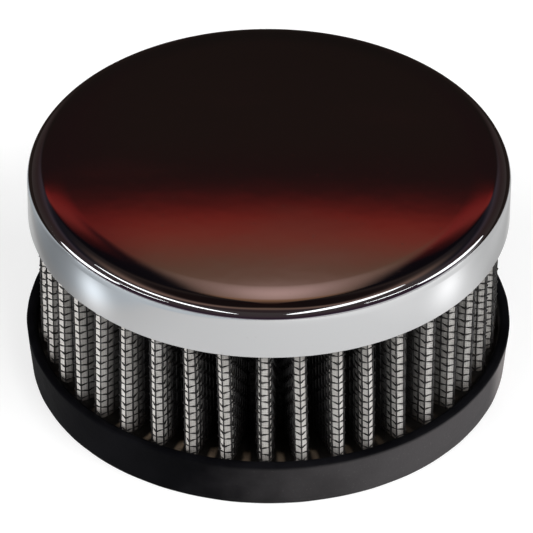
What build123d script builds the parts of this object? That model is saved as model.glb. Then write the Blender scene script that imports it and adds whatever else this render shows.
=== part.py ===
from build123d import *
import math
import os

# Crankcase breather filter: pressed cap, pleated element between wire screens, rubber base.
# Millimetres. The origin is the centre of the underside, +Z is up and -Y is the front.

# Whole filter
overall_height = 38.1

# Rubber base: a cup with an outer wall that tapers downwards, and a neck that stands up inside
base_diameter = 76.2
base_height = 8.1
base_wall = 1.8
base_taper = 0.7
base_floor = 2.4
lip_edge = 0.4
tube_diameter = 31.75
neck_wall = 3.0
neck_height = 19.0
neck_lead_in = 1.0

# Pleated element: the same folds in the outer screen, the gauze and the inner screen
pleat_count = 40
pleat_phase = -1.0
screen_thickness = 0.25
gauze_thickness = 0.45
tight_fold_radius = 0.15
fold_coarseness = 0.3

# Sealing compound at both ends of the element
potting_recess = 0.6
cap_potting_depth = 5.0
end_cover = 1.6

# Pressed cap
cap_skirt = 9.4
cap_gauge = 0.9
cap_shoulder = 2.0
cap_shoulder_flats = 5
cap_inner_corner = 0.8

# Clearances round the element: to the base's wall, to the cap's skirt and to the neck
base_gap = 0.13
cap_gap = 0.39
neck_gap = 5.8

# Radii and levels that follow from the sizes above
base_radius = base_diameter / 2
cup_radius = base_radius - base_wall
element_radius = cup_radius - base_gap
cap_inner_radius = element_radius + cap_gap
cap_radius = cap_inner_radius + cap_gauge
bore_radius = tube_diameter / 2
neck_radius = bore_radius + neck_wall
cap_bottom = overall_height - cap_skirt
cap_ceiling = overall_height - cap_gauge
element_bottom = base_floor + end_cover
element_top = cap_ceiling - cap_potting_depth
base_potting_level = base_height - potting_recess

# The pack is the three layers together. Its folds run round two rings of centres, and the pleats are
# as deep as the room between the base's wall and the neck allows.
pack_thickness = 2 * screen_thickness + gauze_thickness
wide_fold_radius = tight_fold_radius + pack_thickness
crest_ring = element_radius - wide_fold_radius
valley_ring = neck_radius + neck_gap + wide_fold_radius
half_pitch = math.radians(180 / pleat_count)


def polar(radius, angle):
    return Vector(radius * math.cos(angle), radius * math.sin(angle))


def flank_lean():
    """Angle between a flank and the radius through its crest, the same for every layer."""
    inward = crest_ring - valley_ring * math.cos(half_pitch)
    sideways = valley_ring * math.sin(half_pitch)
    fold_sum = wide_fold_radius + tight_fold_radius
    return math.atan2(sideways, inward) - math.asin(fold_sum / math.hypot(inward, sideways))


def fold_points(centre, radius, middle, half_sweep):
    """Points round one fold, from one flank to the next, through the direction middle.
    The fold is a row of flats, and a tighter fold needs fewer of them."""
    flats = math.ceil(radius / fold_coarseness)
    steps = [2 * i / flats - 1 for i in range(flats + 1)]
    return [centre + polar(radius, middle + half_sweep * step) for step in steps]


def pleat_outline(depth):
    """Closed outline that lies this far under the outer face of the pack, all round the element."""
    crest_sweep = math.pi / 2 - flank_lean()
    valley_sweep = crest_sweep - half_pitch
    crest_radius = wide_fold_radius - depth
    valley_radius = tight_fold_radius + depth
    points = []
    for i in range(pleat_count):
        crest = math.radians(pleat_phase - 90) + 2 * half_pitch * i
        valley = crest + half_pitch
        points += fold_points(polar(crest_ring, crest), crest_radius, crest, crest_sweep)
        points += fold_points(polar(valley_ring, valley), valley_radius, valley + math.pi, -valley_sweep)
    return Wire.make_polygon(points, close=True)


def slab(outer, inner, bottom, top):
    """Straight-sided solid between two outlines and two levels."""
    section = Face(outer, [inner])
    return Pos(0, 0, bottom) * extrude(section, amount=top - bottom, dir=(0, 0, 1))


def layer(outer_depth, inner_depth):
    """One pleated layer of the element, between two depths in the pack."""
    return slab(pleat_outline(outer_depth), pleat_outline(inner_depth), element_bottom, element_top)


def outer_screen():
    return layer(0, screen_thickness)


def pleated_gauze():
    return layer(screen_thickness, screen_thickness + gauze_thickness)


def inner_screen():
    return layer(screen_thickness + gauze_thickness, pack_thickness)


def base_potting():
    """Fills the cup under the element, and rises between the pleats on their outer side."""
    cup = Wire.make_circle(cup_radius)
    bed = slab(cup, Wire.make_circle(neck_radius), base_floor, element_bottom)
    between_pleats = slab(cup, pleat_outline(0), element_bottom, base_potting_level)
    return bed + between_pleats


def turned(outline):
    """Solid turned about the vertical axis from a closed outline of (radius, height) points."""
    with BuildPart() as body:
        with BuildSketch(Plane.XZ):
            with BuildLine():
                Polyline(*outline, close=True)
            make_face()
        revolve(axis=Axis.Z)
    return body.part


def cap_inside(inner_level):
    """Outline of the inside of the cap from its ceiling down to a level, from the axis outwards."""
    return [
        (0, cap_ceiling),
        (cap_inner_radius - cap_inner_corner, cap_ceiling),
        (cap_inner_radius, cap_ceiling - cap_inner_corner),
        (cap_inner_radius, inner_level),
    ]


def top_potting():
    return turned(cap_inside(element_top) + [(0, element_top)])


def top_cap():
    """Pressed cap: flat top, rounded shoulder in a row of flats, straight skirt."""
    shoulder = []
    for i in range(cap_shoulder_flats + 1):
        angle = math.pi / 2 * (1 - i / cap_shoulder_flats)
        shoulder.append(
            (
                cap_radius - cap_shoulder + cap_shoulder * math.cos(angle),
                overall_height - cap_shoulder + cap_shoulder * math.sin(angle),
            )
        )
    outside = [(0, overall_height)] + shoulder + [(cap_radius, cap_bottom)]
    return turned(outside + cap_inside(cap_bottom)[::-1])


def base_moulding():
    """Cup with an outer wall that leans in towards the foot, and the neck for the breather tube."""
    return turned(
        [
            (bore_radius + neck_lead_in, 0),
            (base_radius - base_taper, 0),
            (base_radius, base_height - lip_edge),
            (base_radius - lip_edge, base_height),
            (cup_radius, base_height),
            (cup_radius, base_floor),
            (neck_radius, base_floor),
            (neck_radius, neck_height),
            (bore_radius, neck_height),
            (bore_radius, neck_lead_in),
        ]
    )


pieces = {
    "top_cap": top_cap(),
    "top_potting": top_potting(),
    "outer_screen": outer_screen(),
    "pleated_gauze": pleated_gauze(),
    "inner_screen": inner_screen(),
    "base_potting": base_potting(),
    "base_moulding": base_moulding(),
}

os.makedirs("parts", exist_ok=True)
for name, piece in pieces.items():
    piece.label = name
    export_step(piece, f"parts/{name}.step")
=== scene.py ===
import math

import bpy
import numpy as np
from mathutils import Matrix, Vector


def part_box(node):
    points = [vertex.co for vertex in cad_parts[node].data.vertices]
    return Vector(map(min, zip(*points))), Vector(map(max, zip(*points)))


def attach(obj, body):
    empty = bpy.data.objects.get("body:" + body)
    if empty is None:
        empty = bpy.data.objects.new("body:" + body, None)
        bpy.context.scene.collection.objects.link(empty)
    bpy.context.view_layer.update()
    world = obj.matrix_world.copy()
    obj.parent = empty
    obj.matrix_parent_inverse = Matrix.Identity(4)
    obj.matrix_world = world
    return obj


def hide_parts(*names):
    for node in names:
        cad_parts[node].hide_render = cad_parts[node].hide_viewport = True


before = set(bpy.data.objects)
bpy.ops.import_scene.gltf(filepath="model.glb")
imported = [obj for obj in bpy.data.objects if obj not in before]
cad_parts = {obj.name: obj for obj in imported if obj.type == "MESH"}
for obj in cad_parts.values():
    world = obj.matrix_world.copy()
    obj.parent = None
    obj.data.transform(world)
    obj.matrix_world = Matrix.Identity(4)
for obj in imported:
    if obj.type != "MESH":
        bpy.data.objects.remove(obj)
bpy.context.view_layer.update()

# Crankcase breather filter. Metres, +Z up, -Y is the front.
# Lengths in the dictionaries are millimetres, because that is how the filter is measured.

mm = 0.001
capLow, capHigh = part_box("top_cap")
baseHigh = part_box("base_moulding")[1]
bedLow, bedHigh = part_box("base_potting")
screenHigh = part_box("outer_screen")[1]
coreLow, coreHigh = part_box("inner_screen")
print("frame loaded:", ", ".join(sorted(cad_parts)))


# Mesh helpers

def meshFromArrays(name, points, quads, uv=None, smooth=True):
    # points is (n, 3) in millimetres, quads is (m, 4) with a repeated last corner where a face is a triangle
    quads = np.asarray(quads, np.int64)
    isTri = quads[:, 3] == quads[:, 2]
    counts = np.where(isTri, 3, 4)
    keep = np.ones(quads.shape, bool)
    keep[isTri, 3] = False
    corners = quads[keep].astype(np.int32)
    starts = np.concatenate([[0], np.cumsum(counts)[:-1]]).astype(np.int32)
    mesh = bpy.data.meshes.new(name)
    mesh.vertices.add(len(points))
    mesh.vertices.foreach_set("co", (np.asarray(points, float) * mm).astype(np.float32).ravel())
    mesh.loops.add(len(corners))
    mesh.loops.foreach_set("vertex_index", corners)
    mesh.polygons.add(len(counts))
    mesh.polygons.foreach_set("loop_start", starts)
    mesh.polygons.foreach_set("loop_total", counts.astype(np.int32))
    if uv is not None:
        layer = mesh.uv_layers.new(name="cloth")
        layer.data.foreach_set("uv", np.asarray(uv, np.float32)[corners].ravel())
    mesh.polygons.foreach_set("use_smooth", np.full(len(counts), smooth))
    mesh.update(calc_edges=True)
    mesh.validate()
    piece = bpy.data.objects.new(name, mesh)
    bpy.context.scene.collection.objects.link(piece)
    return piece


def gridQuads(rows, columns, closedRows=False, closedColumns=False):
    # corner numbers of the cells of a grid whose points are stored row by row
    i = np.arange(rows if closedRows else rows - 1)[:, None]
    j = np.arange(columns if closedColumns else columns - 1)[None, :]
    nextI, nextJ = (i + 1) % rows, (j + 1) % columns
    quads = np.stack(
        [i * columns + j, i * columns + nextJ, nextI * columns + nextJ, nextI * columns + j], axis=-1
    )
    return quads.reshape(-1, 4)


def signedVolume(points, quads):
    a, b, c, d = (points[quads[:, k]] for k in range(4))
    return (np.einsum("ij,ij->i", a, np.cross(b, c)) + np.einsum("ij,ij->i", a, np.cross(c, d))).sum() / 6


def turnedShell(name, profile, segments, ripple=None):
    # radius(t), height(t) carried round the vertical axis; the first and last points may lie on the axis
    profile = np.asarray(profile, float)
    angle = np.linspace(0, 2 * np.pi, segments, endpoint=False)
    onAxis = profile[:, 0] < 1e-9
    body = profile[~onAxis]
    radius = np.repeat(body[:, :1], segments, axis=1)
    height = np.repeat(body[:, 1:], segments, axis=1)
    if ripple is not None:
        radius, height = ripple(radius, height, np.broadcast_to(angle, radius.shape))
    points = np.stack([radius * np.cos(angle), radius * np.sin(angle), height], axis=-1).reshape(-1, 3)
    closed = not onAxis.any()
    quads = gridQuads(len(body), segments, closedRows=closed, closedColumns=True)
    turn = np.arange(segments)
    after = (turn + 1) % segments
    for end, row in ((0, 0), (-1, len(body) - 1)):
        if onAxis[end]:
            pole = len(points)
            points = np.vstack([points, [0, 0, profile[end, 1]]])
            first, second = (after, turn) if end == 0 else (turn, after)
            spoke = np.full(segments, pole)
            fan = np.stack([row * segments + first, row * segments + second, spoke, spoke], axis=-1)
            quads = np.vstack([quads, fan])
    if signedVolume(points, quads) < 0:
        quads = np.where((quads[:, 3] == quads[:, 2])[:, None], quads[:, [1, 0, 2, 3]], quads[:, ::-1])
    return meshFromArrays(name, points, quads)


def arc(centre, radius, start, stop, count):
    # points of a circle from one angle to the other, in degrees from the outward direction
    t = np.radians(np.linspace(start, stop, count))
    return np.stack([centre[0] + radius * np.cos(t), centre[1] + radius * np.sin(t)], axis=-1)


def waves(rows, angle, along):
    # sum of size * sin(turns * angle + start + rate * along)
    return sum(size * np.sin(turns * angle + start + rate * along) for size, turns, start, rate in rows)


def dress(piece, material, slot, *nodes):
    piece.data.materials.clear()
    piece.data.materials.append(material)
    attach(piece, "root")
    if nodes:
        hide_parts(*nodes)
    return piece


# Shader helpers

class Signal:
    # a node's output that Python's operators work on
    def __init__(self, bench, socket):
        self.bench = bench
        self.socket = socket

    def __add__(self, other):
        return self.bench.maths("ADD", self, other)

    def __radd__(self, other):
        return self.bench.maths("ADD", other, self)

    def __sub__(self, other):
        return self.bench.maths("SUBTRACT", self, other)

    def __rsub__(self, other):
        return self.bench.maths("SUBTRACT", other, self)

    def __mul__(self, other):
        return self.bench.maths("MULTIPLY", self, other)

    def __rmul__(self, other):
        return self.bench.maths("MULTIPLY", other, self)

    def __truediv__(self, other):
        return self.bench.maths("DIVIDE", self, other)

    def __rtruediv__(self, other):
        return self.bench.maths("DIVIDE", other, self)


class Bench:
    # makes and wires the nodes of one tree
    def __init__(self, tree):
        self.tree = tree
        tree.nodes.clear()

    def node(self, kind, settings=None, sockets=None, output=0):
        made = self.tree.nodes.new(kind)
        for key, value in (settings or {}).items():
            if key == "stops":
                ramp = made.color_ramp
                while len(ramp.elements) < len(value):
                    ramp.elements.new(0.5)
                for element, (place, colour) in zip(ramp.elements, value):
                    element.position = place
                    element.color = (*colour, 1) if len(colour) == 3 else colour
            else:
                setattr(made, key, value)
        for key, value in (sockets or {}).items():
            if isinstance(value, Signal):
                self.tree.links.new(value.socket, made.inputs[key])
            else:
                made.inputs[key].default_value = value
        return Signal(self, made.outputs[output]) if len(made.outputs) else made

    def maths(self, operation, *values):
        return self.node("ShaderNodeMath", {"operation": operation}, dict(enumerate(values)))

    def vector(self, operation, *values):
        return self.node("ShaderNodeVectorMath", {"operation": operation}, dict(enumerate(values)))

    def blend(self, factor, first, second, how="MIX"):
        settings = {"data_type": "RGBA", "blend_type": how}
        return self.node("ShaderNodeMix", settings, {0: factor, 6: first, 7: second}, 2)

    def smooth(self, value, low, high, toLow=0.0, toHigh=1.0):
        sockets = {0: value, 1: low, 2: high, 3: toLow, 4: toHigh}
        return self.node("ShaderNodeMapRange", {"interpolation_type": "SMOOTHSTEP"}, sockets)

    def parts(self, vector):
        split = self.node("ShaderNodeSeparateXYZ", {}, {0: vector})
        outputs = split.socket.node.outputs
        return [Signal(self, outputs[k]) for k in range(3)]

    def noise(self, point, scale, detail=2.0, rough=0.5):
        sockets = {"Vector": point, "Scale": scale, "Detail": detail, "Roughness": rough}
        return self.node("ShaderNodeTexNoise", {}, sockets)

    def bump(self, height, distance, strength=1.0, under=None):
        sockets = {"Height": height, "Distance": distance, "Strength": strength}
        if under is not None:
            sockets["Normal"] = under
        return self.node("ShaderNodeBump", {}, sockets)


def finishOf(name):
    material = bpy.data.materials.new(name)
    material.use_nodes = True
    bench = Bench(material.node_tree)
    return material, bench


def closeWith(bench, shader, kind="ShaderNodeOutputMaterial"):
    bench.node(kind, {}, {"Surface": shader})


def objectPoint(bench):
    return bench.node("ShaderNodeTexCoord", {}, {}, 3)


def grey(value):
    return (value, value, value, 1)


# Camera, placed by fitting the cap, base and pleat outlines of the photograph

view = {
    "elevation": 37.68,     # degrees above the floor
    "distance": 890.0,      # millimetres from the turning point
    "turnHeight": 15.0,     # height of the turning point on the axis
    "focalPixels": 5670.0,
    "photoSide": 533,
    "turnPixel": (268.5, 278.1),
    "rollDegrees": 0.336,   # the photograph leans clockwise by this
}


def placeCamera():
    e = math.radians(view["elevation"])
    back = Vector((0, -math.cos(e), math.sin(e)))
    right = Vector((1, 0, 0))
    up = back.cross(right)
    turn = Vector((0, 0, view["turnHeight"] * mm))
    eye = turn + back * view["distance"] * mm
    perPixel = view["distance"] * mm / view["focalPixels"]
    middle = view["photoSide"] / 2
    offX, offY = view["turnPixel"][0] - middle, view["turnPixel"][1] - middle
    roll = math.radians(view["rollDegrees"])
    levelX = math.cos(roll) * offX + math.sin(roll) * offY
    levelY = math.cos(roll) * offY - math.sin(roll) * offX
    aim = turn - right * levelX * perPixel + up * levelY * perPixel
    camera = bpy.data.cameras.new("photoCamera")
    camera.sensor_width = 36
    camera.lens = view["focalPixels"] * camera.sensor_width / view["photoSide"]
    camera.clip_start = 0.05
    camera.clip_end = 20
    holder = bpy.data.objects.new("photoCamera", camera)
    bpy.context.scene.collection.objects.link(holder)
    holder.location = eye
    holder.rotation_mode = "QUATERNION"
    look = (aim - eye).to_track_quat("-Z", "Y")
    holder.rotation_quaternion = look @ Matrix.Rotation(roll, 4, "Z").to_quaternion()
    bpy.context.scene.camera = holder


placeCamera()
print("camera placed")


# The pleated pack. Every layer follows one outline: an arc round each crest, a straight flank,
# and an arc round each valley.

pack = {
    "pleats": 40,
    "phase": -1.0,          # degrees from the front to the nearest crest
    "wideFold": 1.36,       # radius of the outer face round a crest
    "tightFold": 0.15,      # radius of the outer face round a valley
    "outer": 36.17,
    "valleyRing": 25.775,   # radius of the ring of the valleys' middles
    # for each crest, counted from the front towards +X: degrees off its even place, and degrees of
    # lean for each millimetre below leanFrom
    "uneven": [
        0.4, 0.0, 0.9, -0.6, 0.1, 0.8, 0.5, 0.1, -0.5, 0.3, -0.2, 0.5, 0.6, -0.4,
        0.0, 0.4, -0.5, -0.3, 0.2, 0.7, 0.1, -0.6, -0.1, 0.4, 0.5, -0.3, 0.2, -0.4,
        0.6, 0.3, -0.2, 0.1, -0.4, -0.6, -1.0, -1.1, -1.3, -0.65, -0.7, -0.8,
    ],
    "lean": (
        [0.033, 0.029, 0.032, 0.039, 0.046, 0.010, -0.013, -0.047]
        + [0.02] * 27
        + [-0.010, -0.010, 0.003, 0.023, 0.037]
    ),
    "leanFrom": 18,
    "waves": [(0.10, 17, 0, 0.11), (0.07, 9, 2, -0.17)],    # degrees
}
pack["crestRing"] = pack["outer"] - pack["wideFold"]
pack["halfPitch"] = math.pi / pack["pleats"]


def flankTurn():
    # angle of a fold from its middle to where a flank leaves it, and the flank's length
    inward = pack["crestRing"] - pack["valleyRing"] * math.cos(pack["halfPitch"])
    sideways = pack["valleyRing"] * math.sin(pack["halfPitch"])
    reach = math.hypot(inward, sideways)
    folds = pack["wideFold"] + pack["tightFold"]
    lean = math.atan2(sideways, inward) - math.asin(folds / reach)
    return math.pi / 2 - lean, math.sqrt(reach**2 - folds**2)


crestTurn, flankLength = flankTurn()


def pleatLength(depth):
    # length of one pleat's outline: twice the way from a crest's middle to a valley's
    crestArc = (pack["wideFold"] - depth) * crestTurn
    valleyArc = (pack["tightFold"] + depth) * (crestTurn - pack["halfPitch"])
    return 2 * (crestArc + flankLength + valleyArc)


def alongPleats(depth, s):
    # point and outward normal at distance s along the outline that lies depth under the pack's outer face.
    # Measured from a crest's middle: first a circle of radius wideFold - depth, then a straight line that
    # leaves it along its tangent, then a circle of radius tightFold + depth that turns the other way.
    s = np.asarray(s, float)
    pitch = pleatLength(depth)
    number = np.floor(s / pitch + 0.5)
    local = s - number * pitch
    side = np.where(local < 0, -1.0, 1.0)
    run = np.abs(local)
    crestRadius = pack["wideFold"] - depth
    valleyRadius = pack["tightFold"] + depth
    toFlank = crestRadius * crestTurn
    toValley = toFlank + flankLength
    turn = np.where(
        run < toFlank,
        run / max(crestRadius, 1e-6),
        np.where(run < toValley, crestTurn, crestTurn - (run - toValley) / valleyRadius),
    )
    onFlank = np.clip(run - toFlank, 0, flankLength)
    outX, outY = np.cos(turn), np.sin(turn)
    crestX = pack["crestRing"] + crestRadius * outX - onFlank * np.sin(crestTurn)
    crestY = crestRadius * outY + onFlank * np.cos(crestTurn)
    valleyX = pack["valleyRing"] * math.cos(pack["halfPitch"]) - valleyRadius * outX
    valleyY = pack["valleyRing"] * math.sin(pack["halfPitch"]) - valleyRadius * outY
    inValley = run >= toValley
    x = np.where(inValley, valleyX, crestX)
    y = np.where(inValley, valleyY, crestY) * side
    outY = outY * side
    bearing = np.radians(pack["phase"] - 90) + 2 * pack["halfPitch"] * number
    c, n = np.cos(bearing), np.sin(bearing)
    point = np.stack([x * c - y * n, x * n + y * c], axis=-1)
    normal = np.stack([outX * c - outY * n, outX * n + outY * c], axis=-1)
    return point, normal


def byCrest(values, place):
    # one value for each crest, blended along the outline; place counts pleats from the front
    count = pack["pleats"]
    return np.interp(place % count, np.arange(count + 1), values + values[:1])


def settle(points):
    # hand-pleated cloth is never quite even: each point is turned about the axis by its pleat's own
    # error, by its pleat's lean and by slow waves round the pack and up it
    points = np.array(points, float)
    bearing = np.arctan2(points[..., 1], points[..., 0])
    z = points[..., 2]
    place = (np.degrees(bearing) + 90 - pack["phase"]) / 360 * pack["pleats"]
    lean = byCrest(pack["lean"], place) * (pack["leanFrom"] - z)
    swing = np.radians(byCrest(pack["uneven"], place) + waves(pack["waves"], bearing, z) + lean)
    c, n = np.cos(swing), np.sin(swing)
    x, y = points[..., 0].copy(), points[..., 1].copy()
    points[..., 0] = x * c - y * n
    points[..., 1] = x * n + y * c
    return points


# Woven wire: the wefts run round the pleats, the warps run up, and each passes over and under the other

cloth = {
    "pitch": 1.27,          # millimetres from one weft to the next
    "warps": 726,           # 18.15 to a pleat, so the mesh drifts slowly round the folds
    # share of a pitch from each crest's middle to its nearest warp, beyond the even drift
    "slip": [-0.50, 0.17, 0.16, 0.31] + [-0.19] * 32 + [-0.23, -0.34, -0.32, -0.22],
    "wire": 0.25,
    "depth": 0.35,          # middle of the weave under the pack's outer face
    "weftSwing": 0.19,      # how far a wire moves off that middle at a crossing
    "warpSwing": 0.035,
    "bendShare": 0.2,       # a weft is bent this share of a pitch to either side of a warp
    "bendSwing": 0.72,      # share of its swing that it has there, and it is straight from bend to bend
    "level": {"size": 0.10, "waves": 5, "shift": 0.3},      # the wefts rise and fall a little
    "sides": 4,
    "under": 1.0,           # its rows are counted from this far under the top of the CAD's compound
    "sunkRows": 1,          # and this many more lie below them
}


def wires(name, centres, across, other, closed):
    # a tube of few sides round each row of points; across and other span its section
    count, length = centres.shape[:2]
    sides = cloth["sides"]
    turn = 2 * np.pi * (np.arange(sides) + 0.5) / sides
    ring = (
        centres[:, :, None, :]
        + cloth["wire"] / 2 * np.cos(turn)[:, None] * across[:, :, None, :]
        + cloth["wire"] / 2 * np.sin(turn)[:, None] * other[:, :, None, :]
    )
    points = ring.reshape(-1, 3)
    one = gridQuads(length, sides, closedRows=closed, closedColumns=True)
    if not closed:
        first = np.arange(sides)
        last = first + (length - 1) * sides
        one = np.vstack([one, first[None, ::-1], last[None, :]])
    quads = (one[None] + (np.arange(count) * length * sides)[:, None, None]).reshape(-1, 4)
    quads = quads[:, ::-1]
    if signedVolume(points, quads) < 0:
        quads = quads[:, ::-1]
    return meshFromArrays(name, points, quads)


def weaveSetting():
    # number of wefts, and the two levels between which they are spaced
    bottom = bedHigh.z / mm - cloth["under"]
    top = screenHigh.z / mm
    return int((top - bottom) / cloth["pitch"]), bottom, top


def bends(depth, first=0):
    # the stiff cloth bends only along its warps and is flat between them, so a layer's outline is a
    # polygon: its corners are the points of the smooth outline at the warps, moved in along their normals
    place = np.arange(first, first + cloth["warps"])
    slip = byCrest(cloth["slip"], place / cloth["warps"] * pack["pleats"])
    s = (place + slip) / cloth["warps"] * pack["pleats"] * pleatLength(cloth["depth"])
    point, normal = alongPleats(cloth["depth"], s)
    return point - normal * (depth - cloth["depth"]), normal


def betweenBends(corners, shares):
    # points at these shares of the way from each corner to the next, in order round the outline
    after = np.roll(corners, -1, axis=0)
    shares = np.asarray(shares)[None, :, None]
    return (corners[:, None] * (1 - shares) + after[:, None] * shares).reshape(-1, 2)


def weftWires(name, first, last):
    # off the outline by swing * wave, where wave is 1 at a warp, -1 at the next, and straight in between
    wefts, bottom, top = weaveSetting()
    corners, outward = bends(cloth["depth"])
    bend = cloth["bendShare"]
    shares = [0, bend, 1 - bend]
    point, normal = betweenBends(corners, shares), betweenBends(outward, shares)
    normal = normal / np.linalg.norm(normal, axis=-1, keepdims=True)
    place = (np.arange(cloth["warps"])[:, None] + shares).ravel()
    number = np.arange(first, last)
    sign = 1 - 2 * ((np.round(place)[None] + number[:, None]) % 2)
    wave = sign * np.where(np.isclose(place, np.round(place)), 1.0, cloth["bendSwing"])
    xy = point[None] + cloth["weftSwing"] * wave[..., None] * normal[None]
    z = bottom + (number + 0.5) * (top - bottom) / wefts
    rows = [(cloth["level"]["size"], cloth["level"]["waves"], 0, cloth["level"]["shift"])]
    level = z[:, None] + waves(rows, 2 * np.pi * place / cloth["warps"], number[:, None])
    centres = settle(np.concatenate([xy, level[..., None]], axis=-1))
    across = np.concatenate([normal, np.zeros((len(place), 1))], axis=-1)[None].repeat(len(number), axis=0)
    upward = np.zeros_like(across)
    upward[..., 2] = 1
    return wires(name, centres, across, upward, closed=True)


def warpWires(name, first, last):
    # off the outline by swing * -cos(pi * (v - 1/2 + number)), where v counts the wefts on the way up
    wefts, bottom, top = weaveSetting()
    corners, outward = bends(cloth["depth"])
    number = np.arange(first, last)
    point, normal = corners[first:last], outward[first:last]
    steps = (wefts + cloth["sunkRows"]) * 2 + 1
    v = np.linspace(-cloth["sunkRows"], wefts, steps)
    wave = -np.cos(np.pi * (v[None, :] - 0.5 + number[:, None]))
    z = bottom + v * (top - bottom) / wefts
    xy = point[:, None] + cloth["warpSwing"] * wave[..., None] * normal[:, None]
    level = np.broadcast_to(z, wave.shape)
    centres = settle(np.concatenate([xy, level[..., None]], axis=-1))
    across = np.concatenate([normal, np.zeros((len(number), 1))], axis=-1)[:, None].repeat(steps, axis=1)
    sideways = np.stack([-across[..., 1], across[..., 0], np.zeros(across.shape[:2])], axis=-1)
    return wires(name, centres, across, sideways, closed=False)


# Pleated gauze, and the screen inside it

gauze = {
    "depth": 0.42,          # of its outer face, under the pack's
    "thickness": 0.22,
    "groove": 0.08,         # the warps press this far into it
    "grooveShare": 0.16,
    "rows": 9,
}


def carriedUp(name, outlines, s, rows, low, high, smooth=True):
    # the outlines carried straight up; two of them are the outer and inner face of a closed sheet
    z = np.linspace(low, high, rows)
    faces = []
    for outline in outlines:
        flat = np.broadcast_to(outline, (rows, len(s), 2))
        level = np.broadcast_to(z[:, None, None], (rows, len(s), 1))
        faces.append(settle(np.concatenate([flat, level], axis=-1)))
    closed = len(faces) > 1
    grid = np.concatenate([faces[0], faces[1][::-1]]) if closed else faces[0]
    v = np.concatenate([z, z[::-1]]) if closed else z
    quads = gridQuads(len(grid), len(s), closedRows=closed, closedColumns=True)
    points = grid.reshape(-1, 3)
    uv = np.stack(np.broadcast_arrays(s[None, :] * mm, v[:, None] * mm), axis=-1).reshape(-1, 2)
    if closed and signedVolume(points, quads) < 0:
        quads = quads[:, ::-1]
    return meshFromArrays(name, points, quads, uv, smooth)


def gauzePleats(low, high):
    # flat between the warps and pressed in under each one; the seam is at the back
    shares = [0, gauze["grooveShare"], 1 - gauze["grooveShare"]]
    back = cloth["warps"] // 2
    corners, outward = bends(gauze["depth"], back)
    outer = betweenBends(corners, shares)
    outer[::3] -= gauze["groove"] * outward
    inner = betweenBends(corners - gauze["thickness"] * outward, shares)
    place = back + (np.arange(cloth["warps"])[:, None] + shares).ravel()
    s = place / cloth["warps"] * pack["pleats"] * pleatLength(cloth["depth"])
    return carriedUp("gauzePleats", [outer, inner], s, gauze["rows"], low, high, smooth=False)


def spacedAlong(depth, crest, flank, valley):
    # more points round the folds than on the straight flanks
    pitch = pleatLength(depth)
    crestArc = (pack["wideFold"] - depth) * crestTurn
    valleyArc = (pack["tightFold"] + depth) * (crestTurn - pack["halfPitch"])
    half = np.concatenate([
        np.linspace(0, crestArc, crest, endpoint=False),
        crestArc + np.linspace(0, flankLength, flank, endpoint=False),
        crestArc + flankLength + np.linspace(0, valleyArc, valley, endpoint=False),
    ])
    one = np.concatenate([half, [pitch / 2], pitch - half[:0:-1]])
    return (np.arange(pack["pleats"])[:, None] * pitch + one[None]).ravel()


innerCloth = {
    "depth": 0.80,          # under the pack's outer face
    "rows": 8,
    "points": (5, 4, 6),    # on half a crest, a flank and half a valley
}


def innerWireCloth(low, high):
    # one surface: the outline at its depth, carried straight up
    s = spacedAlong(innerCloth["depth"], *innerCloth["points"])
    outline = alongPleats(innerCloth["depth"], s)[0]
    return carriedUp("innerWireCloth", [outline], s, innerCloth["rows"], low, high)


# Pressed cap

cap = {
    "crown": 0.30,          # the top is very slightly domed
    "rollStart": 31.5,      # radius where the top starts to fall away to the shoulder
    "rollSlope": 0.05,
    "shoulder": 2.7,
    "gauge": 0.9,
    "edge": 0.18,           # rounding of the skirt's cut edge
    "insideRound": 1.7,
    "segments": 360,
}


def capProfile():
    # top: height = level - crown (r/R)^2 - c (r - rollStart)^2 / 2 past rollStart, then arcs and lines
    outer = capHigh.x / mm
    top = capHigh.z / mm
    bottom = capLow.z / mm
    gauge, edge, shoulder, inside = cap["gauge"], cap["edge"], cap["shoulder"], cap["insideRound"]
    reach = outer - shoulder
    slopeEnd = 2 * cap["crown"] / reach + cap["rollSlope"]
    lean = math.atan(slopeEnd)
    start = reach + shoulder * math.sin(lean)
    flat = np.linspace(1.5, cap["rollStart"], 22)
    r = np.concatenate([[0], flat, np.linspace(cap["rollStart"] + 0.3, start, 9)])
    past = np.maximum(r - cap["rollStart"], 0)
    bend = cap["rollSlope"] / (start - cap["rollStart"])
    z = top - cap["crown"] * (r / reach) ** 2 - bend * past**2 / 2
    crown = np.stack([r, z], axis=-1)
    shoulderMiddle = (reach, z[-1] - shoulder * math.cos(lean))
    return np.vstack([
        crown[:-1],
        arc(shoulderMiddle, shoulder, 90 - math.degrees(lean), 0, 20),
        arc((outer - edge, bottom + edge), edge, 0, -90, 5),
        arc((outer - gauge + edge, bottom + edge), edge, -90, -180, 5),
        arc((outer - gauge - inside, top - gauge - inside), inside, 0, 90, 10),
        [(0, top - gauge)],
    ])


# Rubber base

base = {
    "foot": 37.4,           # radius at the underside
    "wall": 1.8,
    "floor": 2.4,
    "lip": 8.1,             # its height
    "lipRound": 0.36,
    "lipInnerRound": 0.95,
    "footRound": 0.45,
    "bore": 15.875,
    "neck": 18.875,
    "neckRound": 0.8,
    "mouthRound": 0.5,
    "leadIn": 1.0,
    "segments": 288,
    "shrink": 0.045,        # the wall stays this far inside the CAD's
    "sink": 0.03,           # and the lip this far under it
    "waves": [(0.018, 9, 0.5, 0), (0.014, 23, 0, 1), (0.01, 41, 0, 0)],
}


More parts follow.
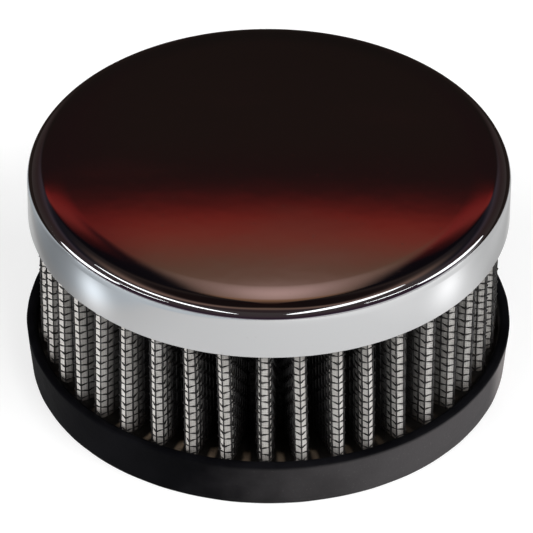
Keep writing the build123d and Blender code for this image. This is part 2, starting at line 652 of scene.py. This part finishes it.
def baseProfile():
    # arcs and lines: the foot, the wall leaning out, the lip, the inside of the cup, the neck and the bore
    outer, top = baseHigh.x / mm, baseHigh.z / mm
    foot, floor, wall, lip = base["foot"], base["floor"], base["wall"], base["lip"]
    neck, bore, leadIn, mouth = base["neck"], base["bore"], base["leadIn"], base["mouthRound"]
    a, b, c, d = base["lipRound"], base["lipInnerRound"], base["footRound"], base["neckRound"]
    return np.vstack([
        arc((foot - c, c), c, -90, -5, 6),
        [(foot + (outer - foot) * t, c + (lip - a - c) * t) for t in np.linspace(0.1, 0.95, 6)],
        arc((outer - a, lip - a), a, 0, 90, 7),
        arc((outer - wall + b, lip - b), b, 90, 180, 6),
        [(outer - wall, floor + 2), (outer - wall, floor), (neck, floor), (neck, floor + 8)],
        arc((neck - d, top - d), d, 0, 90, 6),
        arc((bore + mouth, top - mouth), mouth, 90, 180, 5),
        [(bore, top - 6), (bore, leadIn + 0.4), (bore + 0.15, leadIn), (bore + leadIn, 0.0)],
    ])


def mouldedRipple(radius, height, angle):
    # a soft moulding isn't a perfect circle: its wall and lip wander by a few hundredths, the wall more
    # from radius 30 to 38 and the lip more from height 6.5 to 8
    nearWall = np.clip((radius - 30) / 8, 0, 1)
    nearLip = np.clip((height - 6.5) / 1.5, 0, 1) * nearWall
    wander = waves(base["waves"], angle, height)
    return radius - nearWall * (base["shrink"] + wander), height - nearLip * (base["sink"] + wander)


# Sealing compound in the base

bed = {
    "radial": 40,
    "crowding": 1.7,        # the rings lie closer together towards the wall
    "segments": 720,
    "sunk": 1.65,           # its level, under the top of the CAD's
    "meniscus": 0.64,       # how far it climbs the pleats
    "wallShare": 0.3,       # and the share of that at the cup's wall
    "reach": 0.45,
    "waves": [(0.06, 3, 1, 0), (0.05, 13, 0, 1)],
    "offNeck": 0.01,
    "offCup": 0.02,
}


def bedShell():
    # ring between neck and cup; its top is level + meniscus * exp(-gap / reach), where gap is the
    # distance to the nearest pleat face or to the cup's wall, plus a slow swell
    inner, outer = base["neck"] + bed["offNeck"], bedHigh.x / mm - bed["offCup"]
    low, level = bedLow.z / mm + bed["offCup"], bedHigh.z / mm - bed["sunk"]
    r = inner + (outer - inner) * (1 - (1 - np.linspace(0, 1, bed["radial"])) ** bed["crowding"])
    angle = np.linspace(0, 2 * np.pi, bed["segments"], endpoint=False)
    radius, turn = np.meshgrid(r, angle, indexing="ij")
    bearing = turn - np.radians(pack["phase"] - 90)
    off = np.abs((bearing / (2 * pack["halfPitch"]) + 0.5) % 1 - 0.5) * 2 * pack["halfPitch"]
    x, y = radius * np.cos(off), radius * np.sin(off)
    fromCrest = np.hypot(x - pack["crestRing"], y) - pack["wideFold"]
    c, n = math.cos(crestTurn), math.sin(crestTurn)
    fromFlank = (x - pack["crestRing"]) * c + y * n - pack["wideFold"]
    beyond = (x - pack["crestRing"]) * n - y * c > 0
    gap = np.maximum(np.where(beyond, fromCrest, fromFlank), 0)
    rise = np.exp(-gap / bed["reach"]) + bed["wallShare"] * np.exp((radius - outer) / bed["reach"])
    z = level + bed["meniscus"] * np.minimum(rise, 1) + waves(bed["waves"], turn, radius)
    top = np.stack([radius * np.cos(turn), radius * np.sin(turn), z], axis=-1)
    under = top.copy()
    under[..., 2] = low
    grid = np.concatenate([under[[0]], top, under[[-1]]], axis=0)
    quads = gridQuads(len(grid), bed["segments"], closedRows=True, closedColumns=True)
    points = settle(grid).reshape(-1, 3)
    if signedVolume(points, quads) < 0:
        quads = quads[:, ::-1]
    return meshFromArrays("basePotting", points, quads)


# Finishes

tints = {
    "chrome": (0.555, 0.558, 0.565, 1),
    "dustOnChrome": (0.42, 0.40, 0.38, 1),
    "rubber": (0.0022, 0.0022, 0.0028, 1),
    "rubberClouds": (0.005, 0.005, 0.006, 1),
    "paintedSideLight": (0.070, 0.066, 0.068, 1),
    "paintedSideLightAtRight": (0.19, 0.176, 0.174, 1),
    "specksInPaintedLight": (0.12, 0.115, 0.11, 1),
    "cotton": (0.52, 0.50, 0.475, 1),
    "paleCotton": (0.64, 0.625, 0.60, 1),
    "betweenThreads": (0.33, 0.31, 0.29, 1),
    "paintedPleatShade": (0.022, 0.021, 0.021, 1),
    "soakedAndShadedCotton": (0.050, 0.038, 0.030, 1),
    "coating": (0.012, 0.011, 0.011, 1),
    "wornCoating": (0.05, 0.042, 0.034, 1),
    "hiddenWire": (0.014, 0.013, 0.012, 1),
    "compound": (0.12, 0.086, 0.060, 1),
    "paleCompound": (0.20, 0.150, 0.105, 1),
    "pits": (0.05, 0.035, 0.024, 1),
    "paintedCompoundShade": (0.004, 0.0035, 0.003, 1),
}


def metres(lengths):
    return [length * mm for length in lengths]


def chromePlate():
    material, bench = finishOf("chromePlate")
    point = objectPoint(bench)
    wipe = bench.noise(bench.vector("MULTIPLY", point, (1.0, 2.6, 1.0)), 38, 3)
    haze = bench.smooth(wipe, 0.45, 0.75)
    dust = bench.smooth(bench.noise(point, 1400, 1), 0.72, 0.77)
    roughness = 0.035 + 0.03 * haze + 0.05 * dust
    colour = bench.blend(dust * 0.12, tints["chrome"], tints["dustOnChrome"])
    normal = bench.bump(bench.noise(point, 140, 2), 0.00004, 0.10)
    sockets = {"Base Color": colour, "Metallic": 1.0, "Roughness": roughness, "Normal": normal}
    closeWith(bench, bench.node("ShaderNodeBsdfPrincipled", {}, sockets))
    return material


# painted light on the rubber's wall: it is painted paler along +X, palest at the right
paintedLightOnRubber = {
    "x": (-14, 26),         # it grows along X over these
    "right": (34.5, 36.8),  # and turns palest over these
    "z": (7.0, 7.9),        # heights over which it ends, at the lip
    "wander": 20,           # how far its clouds move it along X
}


def mouldedRubber():
    material, bench = finishOf("mouldedRubber")
    point = objectPoint(bench)
    cloud = bench.noise(point, 95, 4, 0.6)
    fine = bench.noise(point, 1500, 3, 0.6)
    speck = bench.smooth(bench.noise(point, 2600, 1), 0.66, 0.74)
    x, _, z = bench.parts(point)
    # painted light: the wall's colour turns paler along +X and ends at the lip, with specks only where it is
    # painted paler
    paintedSideLight = bench.smooth(x + (cloud - 0.5) * (paintedLightOnRubber["wander"] * mm), *metres(paintedLightOnRubber["x"]))
    paintedSideLight = paintedSideLight * bench.smooth(z, *metres(paintedLightOnRubber["z"]), 1, 0)
    colour = bench.blend(bench.smooth(cloud, 0.35, 0.7), tints["rubber"], tints["rubberClouds"])
    pale = bench.blend(bench.smooth(x, *metres(paintedLightOnRubber["right"])), tints["paintedSideLight"], tints["paintedSideLightAtRight"])
    colour = bench.blend(paintedSideLight, colour, pale)
    colour = bench.blend(speck * 0.3 * paintedSideLight, colour, tints["specksInPaintedLight"])
    roughness = 0.50 + 0.16 * bench.smooth(cloud, 0.3, 0.7) - 0.05 * fine
    normal = bench.bump(fine, 0.00012, 0.35)
    normal = bench.bump(cloud, 0.0004, 0.25, normal)
    sockets = {"Base Color": colour, "Roughness": roughness, "Normal": normal, "Specular IOR Level": 0.012}
    closeWith(bench, bench.node("ShaderNodeBsdfPrincipled", {}, sockets))
    return material


cotton = {
    "thread": 0.42,         # from one thread to the next
    "depth": (31.8, 35.6),  # radii over which painted shade darkens it inwards, deep in the pleats
    "soakedAndShaded": (6.6, 9.8),   # heights over which it is soaked by the compound and painted with the lip's shade
    "wander": 0.8,
}


def cottonGauze():
    material, bench = finishOf("cottonGauze")
    uv = bench.node("ShaderNodeUVMap", {"uv_map": "cloth"})
    u, v, _ = bench.parts(uv)
    point = objectPoint(bench)
    thread = 2 * math.pi / (cotton["thread"] * mm)
    around = bench.maths("SINE", u * thread)
    upward = bench.maths("SINE", v * thread)
    weave = bench.maths("MAXIMUM", around, upward)
    fluff = bench.noise(point, 1800, 3, 0.65)
    blotch = bench.noise(point, 160, 3, 0.5)
    colour = bench.blend(bench.smooth(blotch, 0.3, 0.7), tints["cotton"], tints["paleCotton"])
    colour = bench.blend(bench.smooth(weave, -0.2, 0.6, 0.35, 0.0), colour, tints["betweenThreads"])
    x, y, z = bench.parts(point)
    radius = bench.maths("SQRT", x * x + y * y)
    # painted shade: the gauze is painted darker inwards, deep in the pleats
    colour = bench.blend(bench.smooth(radius, *metres(cotton["depth"])), tints["paintedPleatShade"], colour)
    # soaked by the compound near the foot, and painted shade from the lip there
    soakedAndShaded = bench.smooth(z + cotton["wander"] * mm * blotch, *metres(cotton["soakedAndShaded"]), 0.85, 0.0)
    colour = bench.blend(soakedAndShaded, colour, tints["soakedAndShadedCotton"])
    height = 0.6 * weave + 0.8 * fluff
    normal = bench.bump(height, 0.00008, 0.5)
    sockets = {"Base Color": colour, "Roughness": 0.95, "Normal": normal, "Specular IOR Level": 0.2}
    closeWith(bench, bench.node("ShaderNodeBsdfPrincipled", {}, sockets))
    return material


def coatedWire():
    material, bench = finishOf("coatedWire")
    point = objectPoint(bench)
    patch = bench.noise(point, 700, 3, 0.6)
    worn = bench.smooth(patch, 0.62, 0.72)
    colour = bench.blend(worn, tints["coating"], tints["wornCoating"])
    roughness = 0.34 + 0.2 * patch
    normal = bench.bump(bench.noise(point, 3500, 2), 0.00004, 0.4)
    sockets = {"Base Color": colour, "Roughness": roughness, "Normal": normal, "Specular IOR Level": 0.55}
    closeWith(bench, bench.node("ShaderNodeBsdfPrincipled", {}, sockets))
    return material


def innerScreenCloth():
    # the hidden screen is one sheet: bare between its wires, and each wire is rounded by bump
    material, bench = finishOf("innerScreenCloth")
    uv = bench.node("ShaderNodeUVMap", {"uv_map": "cloth"})
    u, v, _ = bench.parts(uv)
    pitch = cloth["pitch"] * mm
    share = cloth["wire"] / cloth["pitch"] / 2
    offU = bench.maths("ABSOLUTE", bench.maths("FRACT", u / pitch) - 0.5)
    offV = bench.maths("ABSOLUTE", bench.maths("FRACT", v / pitch) - 0.5)
    nearest = bench.maths("MINIMUM", offU, offV)
    solid = bench.maths("LESS_THAN", nearest, share)
    height = bench.smooth(nearest, 0.0, share, 1.0, 0.0)
    sockets = {
        "Base Color": tints["hiddenWire"], "Roughness": 0.4, "Alpha": solid,
        "Normal": bench.bump(height, 0.0001, 0.8),
    }
    closeWith(bench, bench.node("ShaderNodeBsdfPrincipled", {}, sockets))
    return material


# painted light: the compound keeps its own colour only in patches in the gaps between the pleats, where side
# light reaches it, and is painted near-black in shade elsewhere
litPatches = {
    "starts": (31.8, 33.0), # radii
    "ends": (34.0, 35.2),
    "past": 0.3,            # what is left of a lit patch beyond its end
    "offGap": (0.04, 0.16), # shares of a pleat from the middle of a gap
    "x": (-20, 26),         # they fade along X over these
    "left": 0.90,
    "right": 0.10,
}


def sealingCompound():
    material, bench = finishOf("sealingCompound")
    point = objectPoint(bench)
    cloud = bench.noise(point, 180, 4, 0.6)
    pit = bench.smooth(bench.noise(point, 1400, 2), 0.60, 0.70)
    colour = bench.blend(bench.smooth(cloud, 0.3, 0.7), tints["compound"], tints["paleCompound"])
    colour = bench.blend(pit * 0.6, colour, tints["pits"])
    x, y, _ = bench.parts(point)
    radius = bench.maths("SQRT", x * x + y * y)
    turn = bench.maths("ARCTAN2", x, y * -1) * (pack["pleats"] / 2 / math.pi)
    place = turn - pack["phase"] / 360 * pack["pleats"]
    offGap = bench.maths("ABSOLUTE", bench.maths("FRACT", place + 100) - 0.5)
    # painted light and shade: lit patches near the lip in each gap, fading along X, and painted shade
    # everywhere else
    litPatch = bench.smooth(radius, *metres(litPatches["starts"]))
    litPatch = litPatch * bench.smooth(radius, *metres(litPatches["ends"]), 1, litPatches["past"])
    litPatch = litPatch * bench.smooth(offGap, *litPatches["offGap"], 1, 0)
    litPatch = litPatch * bench.smooth(x, *metres(litPatches["x"]), litPatches["left"], litPatches["right"])
    colour = bench.blend(litPatch, tints["paintedCompoundShade"], colour)
    roughness = 0.42 + 0.2 * cloud
    normal = bench.bump(cloud - 0.5 * pit, 0.0003, 0.5)
    sockets = {"Base Color": colour, "Roughness": roughness, "Normal": normal}
    closeWith(bench, bench.node("ShaderNodeBsdfPrincipled", {}, sockets))
    return material


# Pieces

finish = {
    "chrome": chromePlate(),
    "rubber": mouldedRubber(),
    "gauze": cottonGauze(),
    "wire": coatedWire(),
    "inner": innerScreenCloth(),
    "compound": sealingCompound(),
}
print("finishes made")

dress(turnedShell("chromeCap", capProfile(), cap["segments"]), finish["chrome"], "cap_chrome", "top_cap")
print("cap made")

dress(
    turnedShell("rubberBase", baseProfile(), base["segments"], mouldedRipple),
    finish["rubber"], "base_rubber", "base_moulding",
)
dress(bedShell(), finish["compound"], "potting", "base_potting")
print("base and compound made")

lowEnd, highEnd = coreLow.z / mm, coreHigh.z / mm
dress(gauzePleats(lowEnd, highEnd), finish["gauze"], "gauze", "pleated_gauze")
dress(innerWireCloth(lowEnd, highEnd), finish["inner"], "screen_wire", "inner_screen")
warps, wefts = cloth["warps"], weaveSetting()[0]
for half, (first, last) in enumerate([(-cloth["sunkRows"], wefts // 2), (wefts // 2, wefts)]):
    dress(weftWires(f"weftWires{half + 1}", first, last), finish["wire"], "screen_wire", "outer_screen")
for half, (first, last) in enumerate([(0, warps // 2), (warps // 2, warps)]):
    dress(warpWires(f"warpWires{half + 1}", first, last), finish["wire"], "screen_wire", "outer_screen")
print("element made:", warps, "warps,", wefts, "wefts")

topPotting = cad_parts["top_potting"]
topPotting.data.materials.clear()
topPotting.data.materials.append(finish["compound"])


# Studio: a pale floor, soft lamps, a little light from all round, and the dim room that chrome mirrors

studio = {
    "ambient": 0.16,
    # name, degrees round from the front and up, tilt, length and height, watts, strength in mirrors
    "lamps": [
        ("leftBar", (-50.5, 41.0), -8, (1000, 78), 3.3, 3.0),
        ("rightBar", (38, 48.0), 23, (810, 122), 3.9, 2.5),
        ("leftPanel", (-84.5, 15), 11, (500, 136), 3.5, 2.6),
        ("rightPanel", (89, 20), -18, (560, 146), 3.6, 2.6),
        ("leftStrip", (-57, 23), 3, (350, 20), 0.1, 4.8),
        ("rightStrip", (57, 29), -4, (350, 20), 0.1, 4.8),
    ],
    "lampDistance": 800,
    "lampTint": (0.97, 0.985, 1.0, 1),
    "faceBehind": 4,        # what mirrors show of a lamp stands this far behind it
    "facePoints": 96,
    "floor": {
        "rings": [60, 400, 4000],
        "points": 64,
        "level": -0.02,
        "paper": 0.55,
        "fill": 0.52,
        # only in mirrors: sheen of the lamps as x, y, width, depth and strength
        "sheen": [(-66.5, -23.5, 7.5, 6.5, 0.98), (69, -20.5, 8, 7.5, 0.70)],
        # its light along X, as from, to, and the change at either end
        "slopes": [(-90, 90, -0.13, 0.09), (-62, -35, -0.07, 0), (45, 62, 0, 0.05)],
        "darker": 0.215,
        "rightLoss": {"x": (50, 75), "y": (-24, -4), "most": 0.12},
        # shade of the object
        "leftShade": {"x": (-58, -48), "y": 9, "depth": 20, "most": 0.60},
        "rightShade": {"y": (-8, 12), "x": (34, 50), "far": (50, 68), "most": 0.68, "least": 0.24},
        "coolUpTo": (-66, -54),
        "cool": (0.88, 0.945, 1.0, 1),
        "endsAt": (48, 72),
        "beyond": (0.022, 0.015, 0.013, 1),
    },
    # the room's colours by degrees above the floor: straight behind the object, and to either side of that
    "behind": [
        (0, 0.020, 0.014, 0.012), (30, 0.013, 0.009, 0.008), (36.0, 0.019, 0.011, 0.0095),
        (37.0, 0.020, 0.0085, 0.0085), (37.4, 0.050, 0.0095, 0.0095), (37.7, 0.135, 0.0140, 0.0120),
        (37.95, 0.225, 0.0225, 0.0170), (38.2, 0.250, 0.0330, 0.0240), (38.6, 0.215, 0.0540, 0.0360),
        (39.0, 0.172, 0.0760, 0.0510), (39.5, 0.152, 0.0790, 0.0500), (40.5, 0.180, 0.1000, 0.0700),
        (42.0, 0.190, 0.1060, 0.0780), (44.5, 0.230, 0.1350, 0.1000), (47.0, 0.250, 0.1250, 0.0680),
        (53.0, 0.195, 0.0980, 0.0560), (61.0, 0.104, 0.0540, 0.0370), (70.0, 0.038, 0.0170, 0.0120),
        (77.0, 0.012, 0.0060, 0.0060),
    ],
    "aside": [
        (0, 0.022, 0.014, 0.012), (30, 0.015, 0.010, 0.009), (36.6, 0.019, 0.0085, 0.0090),
        (37.15, 0.028, 0.0085, 0.0085), (37.6, 0.074, 0.0105, 0.0100), (38.05, 0.185, 0.0160, 0.0150),
        (38.5, 0.232, 0.0235, 0.0205), (39.2, 0.236, 0.0275, 0.0235), (39.7, 0.130, 0.0170, 0.0150),
        (40.3, 0.050, 0.0080, 0.0080), (41.5, 0.006, 0.0040, 0.0060), (44.0, 0.005, 0.0040, 0.0060),
        (60.0, 0.006, 0.0050, 0.0060), (75.0, 0.014, 0.0060, 0.0060),
    ],
    # further round
    "sides": [
        (0, 0.055, 0.042, 0.040), (24, 0.040, 0.024, 0.024), (30, 0.046, 0.030, 0.034),
        (35, 0.056, 0.040, 0.050), (38, 0.032, 0.025, 0.033), (41, 0.013, 0.011, 0.016),
        (48, 0.014, 0.012, 0.015), (70, 0.012, 0.007, 0.007),
    ],
    # and in front, where the camera stands
    "front": [
        (0, 0.800, 0.790, 0.800), (0.6, 0.740, 0.720, 0.740), (2.4, 0.100, 0.070, 0.100),
        (8, 0.030, 0.014, 0.030), (20, 0.062, 0.045, 0.050), (42, 0.070, 0.058, 0.058),
        (50, 0.040, 0.026, 0.028), (60, 0.040, 0.026, 0.028),
    ],
    # degrees round from the middle of what is behind, over which each gives way to the next
    "middle": 0.3,
    "toAside": (2.4, 4.6),
    "toSides": (13, 24),
    "toFront": (70, 100),
    # what is in front stands higher away from its middle, and ends overhead
    "frontRise": {"over": (5, 30), "by": 4.5, "endsAt": (60, 70)},      # degrees
    # a dark gap and a faint glow in what is behind
    "gap": {
        "azimuth": -4.1, "width": 0.8, "from": 38.0, "to": 39.0,
        "strength": 0.85, "colour": (0.006, 0.005, 0.007, 1),
    },
    "glow": {
        "azimuth": 0.35, "elevation": 42.6, "width": 1.35, "height": 2.3,
        "from": 38.9, "to": 40.2, "colour": (0.42, 0.28, 0.27, 1),
    },
    # a warm band overhead, higher in front and weak behind the object
    "band": {
        "elevation": 55.5, "rise": 16, "spread": 30, "height": 4.6,
        "weak": 0.10, "over": (30, 95), "colour": (0.20, 0.125, 0.095, 1),
    },
}


def stops(rows):
    return [(place / 90, colour) for place, *colour in rows]


def bell(bench, offset, width):
    # e to the power of -(offset / width)^2 / 2: 1 in the middle, falling away on both sides
    share = offset / width
    return bench.maths("POWER", 2.718, share * share * -0.5)


def isSeen(bench):
    # 1 for rays that meet this from the camera, in a mirror or through glass, 0 where it lights something
    path = bench.node("ShaderNodeLightPath").socket.node.outputs
    kinds = ("Camera", "Glossy", "Transmission")
    camera, glossy, through = (Signal(bench, path[f"Is {kind} Ray"]) for kind in kinds)
    return bench.maths("MAXIMUM", bench.maths("MAXIMUM", camera, glossy), through), glossy


def surroundings():
    world = bpy.data.worlds.new("studio")
    bpy.context.scene.world = world
    world.use_nodes = True
    bench = Bench(world.node_tree)
    x, y, z = bench.parts(bench.node("ShaderNodeTexCoord", {}, {}, 0))
    degrees = 180 / math.pi
    elevation = bench.maths("ARCSINE", z) * degrees
    fromBack = bench.maths("ARCTAN2", x, y) * degrees
    fromFront = bench.maths("ARCTAN2", x, y * -1) * degrees
    aside = bench.maths("ABSOLUTE", fromBack - studio["middle"])
    turned = bench.maths("ABSOLUTE", fromBack)
    black = (0, 0, 0, 1)

    def ramp(rows, lowered=0.0):
        return bench.node("ShaderNodeValToRGB", {"stops": stops(rows)}, {0: (elevation - lowered) / 90})

    def added(room, strength, colour):
        return bench.blend(1.0, room, bench.blend(strength, black, colour), "ADD")

    toAside = bench.smooth(aside, *studio["toAside"])
    room = bench.blend(toAside, ramp(studio["behind"]), ramp(studio["aside"]))
    glow, gap, band, rise = studio["glow"], studio["gap"], studio["band"], studio["frontRise"]
    lit = bell(bench, fromBack - glow["azimuth"], glow["width"])
    lit = lit * bell(bench, elevation - glow["elevation"], glow["height"])
    lit = lit * bench.smooth(elevation, glow["from"], glow["to"])
    room = added(room, lit, glow["colour"])
    shade = bell(bench, fromBack - gap["azimuth"], gap["width"])
    shade = shade * bench.smooth(elevation, gap["from"], gap["to"])
    room = bench.blend(shade * gap["strength"], room, gap["colour"])
    room = bench.blend(bench.smooth(turned, *studio["toSides"]), room, ramp(studio["sides"]))
    inFront = bench.smooth(turned, *studio["toFront"]) * bench.smooth(elevation, *rise["endsAt"], 1, 0)
    lowered = bench.smooth(fromFront, *rise["over"]) * rise["by"]
    room = bench.blend(inFront, room, ramp(studio["front"], lowered))
    overhead = elevation - band["elevation"] - bell(bench, fromFront, band["spread"]) * band["rise"]
    level = bell(bench, overhead, band["height"]) * bench.smooth(turned, *band["over"], band["weak"], 1.0)
    room = added(room, level, band["colour"])
    seen, _ = isSeen(bench)
    colour = bench.blend(seen, grey(studio["ambient"]), room)
    closeWith(bench, bench.node("ShaderNodeBackground", {}, {0: colour, 1: 1.0}), "ShaderNodeOutputWorld")


def floorMaterial():
    # white to the camera, with the object's shadow on it. In the chrome it also has the lamps' sheen at
    # either side and the object's shade, and it ends not far behind the object.
    material, bench = finishOf("paleFloor")
    floor = studio["floor"]
    left, right, loss = floor["leftShade"], floor["rightShade"], floor["rightLoss"]
    x, y, _ = bench.parts(objectPoint(bench))
    x, y = x * 1000, y * 1000
    seen, glossy = isSeen(bench)
    sheen = sum(
        bell(bench, x - place, width) * bell(bench, y - back, depth) * strength
        for place, back, width, depth, strength in floor["sheen"]
    )
    slope = sum(bench.smooth(x, *row) for row in floor["slopes"])
    lost = bench.smooth(x, *loss["x"], 0, loss["most"]) * bench.smooth(y, *loss["y"])
    change = sheen - lost + slope - floor["darker"]
    shade = bench.smooth(x, *left["x"], 1, 0) * bell(bench, y - left["y"], left["depth"]) * left["most"]
    onRight = bench.smooth(y, *right["y"]) * bench.smooth(x, *right["x"])
    shade = shade + onRight * bench.smooth(x, *right["far"], right["most"], right["least"])
    cool = bench.blend(glossy * bench.smooth(x, *floor["coolUpTo"], 1, 0), grey(1), floor["cool"])
    shaded = bench.blend(glossy * shade, grey(floor["paper"]), grey(0))
    paper = bench.node("ShaderNodeBsdfDiffuse", {}, {"Color": bench.blend(1.0, shaded, cool, "MULTIPLY")})
    strength = seen * (floor["fill"] + glossy * change)
    light = bench.node("ShaderNodeEmission", {}, {"Color": cool, "Strength": strength})
    lit = bench.node("ShaderNodeAddShader", {}, {0: paper, 1: light})
    dark = bench.node("ShaderNodeEmission", {}, {"Color": floor["beyond"], "Strength": 1.0})
    gone = glossy * bench.smooth(y, *floor["endsAt"])
    closeWith(bench, bench.node("ShaderNodeMixShader", {}, {0: gone, 1: lit, 2: dark}))
    return material


def disc(name, rings, middle):
    # rings is (rings, points, 3), from the rim inwards, and the last one closes in the middle point
    count = rings.shape[1]
    step = np.arange(count)
    inmost = (len(rings) - 1) * count
    pole = np.full(count, len(rings) * count)
    fan = np.stack([inmost + step, inmost + (step + 1) % count, pole, pole], axis=-1)
    points = np.vstack([rings.reshape(-1, 3), middle])
    quads = np.vstack([gridQuads(len(rings), count, closedColumns=True), fan])
    return meshFromArrays(name, points, quads, smooth=False)


def makeFloor():
    # flat rings round the axis, just under the foot
    floor = studio["floor"]
    around = np.linspace(0, 2 * np.pi, floor["points"], endpoint=False)
    radius, turn = np.meshgrid(floor["rings"][::-1], around, indexing="ij")
    level = np.full(radius.shape, floor["level"])
    rings = np.stack([radius * np.cos(turn), radius * np.sin(turn), level], axis=-1)
    sheet = disc("floor", rings, [0, 0, floor["level"]])
    sheet.data.materials.append(floorMaterial())


def lampFace(name, size, mirrored, turn):
    # what mirrors show of a lamp: an ellipse just behind it, far dimmer than the lamp and clear to all
    # other rays
    material, bench = finishOf(name)
    material.cycles.emission_sampling = "NONE"
    _, glossy = isSeen(bench)
    clear = bench.node("ShaderNodeBsdfTransparent")
    bright = bench.node("ShaderNodeEmission", {}, {"Color": studio["lampTint"], "Strength": mirrored})
    closeWith(bench, bench.node("ShaderNodeMixShader", {}, {0: glossy, 1: clear, 2: bright}))
    around = np.linspace(0, 2 * np.pi, studio["facePoints"], endpoint=False)
    away = studio["lampDistance"] + studio["faceBehind"]
    rim = [size[0] / 2 * np.cos(around), size[1] / 2 * np.sin(around), np.full(len(around), away)]
    inRoom = np.array(turn.to_matrix()).T
    face = disc(name + "Face", np.stack(rim, axis=-1)[None] @ inRoom, np.array([0, 0, away]) @ inRoom)
    face.data.materials.append(material)


def makeLamps():
    for name, place, tilt, size, watts, mirrored in studio["lamps"]:
        light = bpy.data.lights.new(name, "AREA")
        light.shape = "ELLIPSE"
        light.size, light.size_y = metres(size)
        light.energy = watts
        a, e = (math.radians(angle) for angle in place)
        toLamp = Vector((math.sin(a) * math.cos(e), -math.cos(a) * math.cos(e), math.sin(e)))
        spin = Matrix.Rotation(math.radians(tilt), 4, "Z").to_quaternion()
        holder = bpy.data.objects.new(name, light)
        holder.location = toLamp * studio["lampDistance"] * mm
        holder.rotation_mode = "QUATERNION"
        holder.rotation_quaternion = toLamp.to_track_quat("Z", "Y") @ spin
        holder.visible_glossy = False
        bpy.context.scene.collection.objects.link(holder)
        lampFace(name, size, mirrored, holder.rotation_quaternion)


surroundings()
makeFloor()
makeLamps()
bpy.context.scene.view_settings.view_transform = "Standard"
print("studio made")
